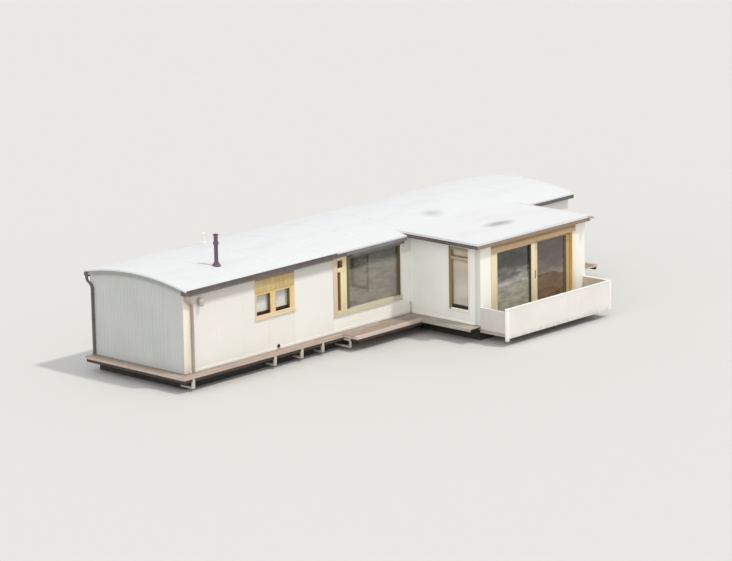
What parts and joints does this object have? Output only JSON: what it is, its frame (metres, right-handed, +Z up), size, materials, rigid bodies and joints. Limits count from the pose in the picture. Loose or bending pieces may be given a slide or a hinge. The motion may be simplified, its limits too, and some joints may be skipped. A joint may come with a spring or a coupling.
{
  "type": "houseboat",
  "caption": "Flat-bottomed houseboat with a long arched-roof cabin, a flat-roofed wing with sliding door and balcony, side walkways and an end deck.",
  "frame": {"origin": "on the caisson's flat bottom, below the middle of the hull's outline", "axes": "+X along the main cabin towards the entrance end, +Y towards the bank side, +Z up; the picture's near side faces -Y"},
  "size_m": [18.735, 8.004, 5.04],
  "materials": {
    "tarred_hull": "black bitumen coat on concrete, dull and stained",
    "floor_boards": "oiled floor boards",
    "deck_boards": "weathered grey-pink deck boards with a pale edge",
    "white_paint": "off-white painted boards, slightly chalky",
    "white_roof": "white roofing membrane with faint water marks",
    "dark_trim": "dull dark grey-brown trim under the roof's edge",
    "yellow_varnish": "yellow varnished timber, satin",
    "inner_wall": "pale painted inner lining",
    "window_glass": "clear window glass that reflects",
    "flue_metal": "dark purple-brown flue, heat dulled",
    "tan_pipe": "tan-brown rain pipe",
    "grey_metal": "galvanised grey metal",
    "blind_cover": "grey blind cover under the eave",
    "net_curtain": "white net curtain, gathered",
    "blind_cloth": "pale tan roller blind cloth"
  },
  "bodies": {
    "boat": {"hull": "tarred_hull", "floor": "floor_boards", "side_ledge": "deck_boards", "walkway_platform": "deck_boards", "wing_ledge": "deck_boards", "side_ledge_right": "deck_boards", "end_deck": "deck_boards", "ledge_bearers": "white_paint", "end_deck_bearers": "white_paint", "balcony_deck": "deck_boards", "balcony_joists": "tarred_hull", "balcony_parapet": "white_paint", "parapet_cap": "white_paint", "near_wall_left": "white_paint", "near_wall_right": "white_paint", "wing_header": "inner_wall", "far_wall": "white_paint", "left_end_wall": "white_paint", "right_end_wall": "white_paint", "wing_wall_left": "white_paint", "wing_wall_right": "white_paint", "wing_wall_front": "white_paint", "partition_left": "inner_wall", "partition_right": "inner_wall", "main_roof_near": "white_roof", "main_roof_far": "white_roof", "wing_roof": "white_roof", "near_eave_left": "dark_trim", "near_eave_right": "dark_trim", "far_eave": "dark_trim", "left_barge_board": "dark_trim", "right_barge_board": "dark_trim", "wing_eave": "dark_trim", "bedroom_window_frame": "yellow_varnish", "bedroom_window_glass": "window_glass", "bedroom_curtain": "net_curtain", "living_window_frame": "yellow_varnish", "living_window_glass": "window_glass", "wing_side_window_frame": "yellow_varnish", "wing_side_window_glass": "window_glass", "wing_side_blind": "blind_cloth", "bank_window_left_frame": "yellow_varnish", "bank_window_left_glass": "window_glass", "bank_window_right_frame": "yellow_varnish", "bank_window_right_glass": "window_glass", "wing_front_frame": "yellow_varnish", "wing_front_glass": "window_glass", "entrance_frame": "yellow_varnish", "chimney": "flue_metal", "roof_vent": "white_paint", "wall_lamp": "grey_metal", "blind_cassette": "blind_cover", "near_downpipe": "tan_pipe", "far_downpipe": "dark_trim", "mooring_plate_left": "grey_metal", "mooring_plate_right": "grey_metal"},
    "sliding_door": {"sliding_door_leaf": "yellow_varnish", "sliding_door_glass": "window_glass"},
    "entrance_door": {"entrance_door": "yellow_varnish", "entrance_handle": "grey_metal"}
  },
  "joints": [
    {"name": "balcony_door_slide", "type": "slide", "parent": "boat", "child": "sliding_door", "axis": [-1, 0, 0], "range_m": [0, 1.56]},
    {"name": "entrance_door_swing", "type": "hinge", "parent": "boat", "child": "entrance_door", "pos_m": [8.66, 0.963, 1.5], "axis": [0, 0, -1], "range_deg": [0, 110]}
  ]
}
